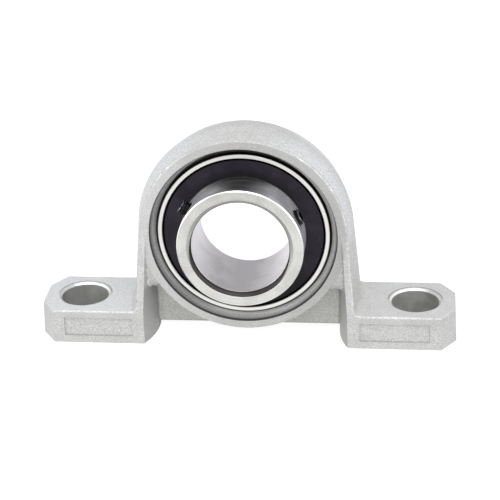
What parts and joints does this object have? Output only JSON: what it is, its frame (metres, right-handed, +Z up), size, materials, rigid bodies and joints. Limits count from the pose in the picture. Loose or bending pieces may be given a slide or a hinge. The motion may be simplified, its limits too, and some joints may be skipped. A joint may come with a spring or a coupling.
{
  "type": "pillow block bearing",
  "caption": "Cast two-bolt pillow block with a self-aligning sealed ball bearing insert, whose extended inner ring clamps a shaft with set screws.",
  "frame": {"origin": "on the base plane, midway between the two foot bolt holes, under the centre of the bearing", "axes": "+X along the feet, Y along the shaft with the collar and set screws on the -Y side, +Z up"},
  "size_m": [0.132, 0.0296, 0.0697],
  "materials": {
    "cast_zinc": "light grey die-cast zinc alloy, matt with a fine sandy grain",
    "ring_steel": "turned and ground bearing steel, bright",
    "seal_rubber": "smooth black rubber",
    "pressed_steel": "pressed sheet steel",
    "ball_steel": "polished bearing steel",
    "black_oxide": "black oxide on steel, satin"
  },
  "bodies": {
    "housing": {"housing": "cast_zinc"},
    "outer_ring_set": {"outer_ring": "ring_steel", "seal_front": "seal_rubber", "seal_back": "seal_rubber", "seal_front_core": "pressed_steel", "seal_back_core": "pressed_steel"},
    "inner_ring": {"inner_ring": "ring_steel"},
    "cage": {"cage_front": "pressed_steel", "cage_back": "pressed_steel", "cage_rivets": "pressed_steel"},
    "ball_01": {"ball_01": "ball_steel"},
    "ball_02": {"ball_02": "ball_steel"},
    "ball_03": {"ball_03": "ball_steel"},
    "ball_04": {"ball_04": "ball_steel"},
    "ball_05": {"ball_05": "ball_steel"},
    "ball_06": {"ball_06": "ball_steel"},
    "ball_07": {"ball_07": "ball_steel"},
    "ball_08": {"ball_08": "ball_steel"},
    "ball_09": {"ball_09": "ball_steel"},
    "ball_10": {"ball_10": "ball_steel"},
    "ball_11": {"ball_11": "ball_steel"},
    "set_screw_1": {"set_screw_1": "black_oxide"},
    "set_screw_2": {"set_screw_2": "black_oxide"}
  },
  "joints": [
    {"name": "swivel", "type": "hinge", "parent": "housing", "child": "outer_ring_set", "pos_m": [0, 0, 0.036], "axis": [1, 0, 0], "range_deg": [-3, 3]},
    {"name": "shaft_spin", "type": "hinge", "parent": "outer_ring_set", "child": "inner_ring", "pos_m": [0, 0, 0.036], "axis": [0, 1, 0], "continuous": true},
    {"name": "cage_spin", "type": "hinge", "parent": "outer_ring_set", "child": "cage", "pos_m": [0, 0, 0.036], "axis": [0, 1, 0], "continuous": true},
    {"name": "ball_01_spin", "type": "hinge", "parent": "cage", "child": "ball_01", "pos_m": [0, 0, 0.05725], "axis": [0, 1, 0], "continuous": true},
    {"name": "ball_02_spin", "type": "hinge", "parent": "cage", "child": "ball_02", "pos_m": [-0.01149, 0, 0.05388], "axis": [0, 1, 0], "continuous": true},
    {"name": "ball_03_spin", "type": "hinge", "parent": "cage", "child": "ball_03", "pos_m": [-0.01933, 0, 0.04483], "axis": [0, 1, 0], "continuous": true},
    {"name": "ball_04_spin", "type": "hinge", "parent": "cage", "child": "ball_04", "pos_m": [-0.02103, 0, 0.03298], "axis": [0, 1, 0], "continuous": true},
    {"name": "ball_05_spin", "type": "hinge", "parent": "cage", "child": "ball_05", "pos_m": [-0.01606, 0, 0.02208], "axis": [0, 1, 0], "continuous": true},
    {"name": "ball_06_spin", "type": "hinge", "parent": "cage", "child": "ball_06", "pos_m": [-0.00599, 0, 0.01561], "axis": [0, 1, 0], "continuous": true},
    {"name": "ball_07_spin", "type": "hinge", "parent": "cage", "child": "ball_07", "pos_m": [0.00599, 0, 0.01561], "axis": [0, 1, 0], "continuous": true},
    {"name": "ball_08_spin", "type": "hinge", "parent": "cage", "child": "ball_08", "pos_m": [0.01606, 0, 0.02208], "axis": [0, 1, 0], "continuous": true},
    {"name": "ball_09_spin", "type": "hinge", "parent": "cage", "child": "ball_09", "pos_m": [0.02103, 0, 0.03298], "axis": [0, 1, 0], "continuous": true},
    {"name": "ball_10_spin", "type": "hinge", "parent": "cage", "child": "ball_10", "pos_m": [0.01933, 0, 0.04483], "axis": [0, 1, 0], "continuous": true},
    {"name": "ball_11_spin", "type": "hinge", "parent": "cage", "child": "ball_11", "pos_m": [0.01149, 0, 0.05388], "axis": [0, 1, 0], "continuous": true},
    {"name": "set_screw_1_travel", "type": "slide", "parent": "inner_ring", "child": "set_screw_1", "axis": [0.8949, 0, 0.4462], "range_m": [-0.0006, 0.0025]},
    {"name": "set_screw_2_travel", "type": "slide", "parent": "inner_ring", "child": "set_screw_2", "axis": [-0.8339, 0, 0.5519], "range_m": [-0.0018, 0.0013]}
  ],
  "couplings": [
    {"joint": "cage_spin", "follows": "shaft_spin", "ratio": 0.41595},
    {"joint": "ball_01_spin", "follows": "shaft_spin", "ratio": -2.8905},
    {"joint": "ball_02_spin", "follows": "shaft_spin", "ratio": -2.8905},
    {"joint": "ball_03_spin", "follows": "shaft_spin", "ratio": -2.8905},
    {"joint": "ball_04_spin", "follows": "shaft_spin", "ratio": -2.8905},
    {"joint": "ball_05_spin", "follows": "shaft_spin", "ratio": -2.8905},
    {"joint": "ball_06_spin", "follows": "shaft_spin", "ratio": -2.8905},
    {"joint": "ball_07_spin", "follows": "shaft_spin", "ratio": -2.8905},
    {"joint": "ball_08_spin", "follows": "shaft_spin", "ratio": -2.8905},
    {"joint": "ball_09_spin", "follows": "shaft_spin", "ratio": -2.8905},
    {"joint": "ball_10_spin", "follows": "shaft_spin", "ratio": -2.8905},
    {"joint": "ball_11_spin", "follows": "shaft_spin", "ratio": -2.8905}
  ]
}
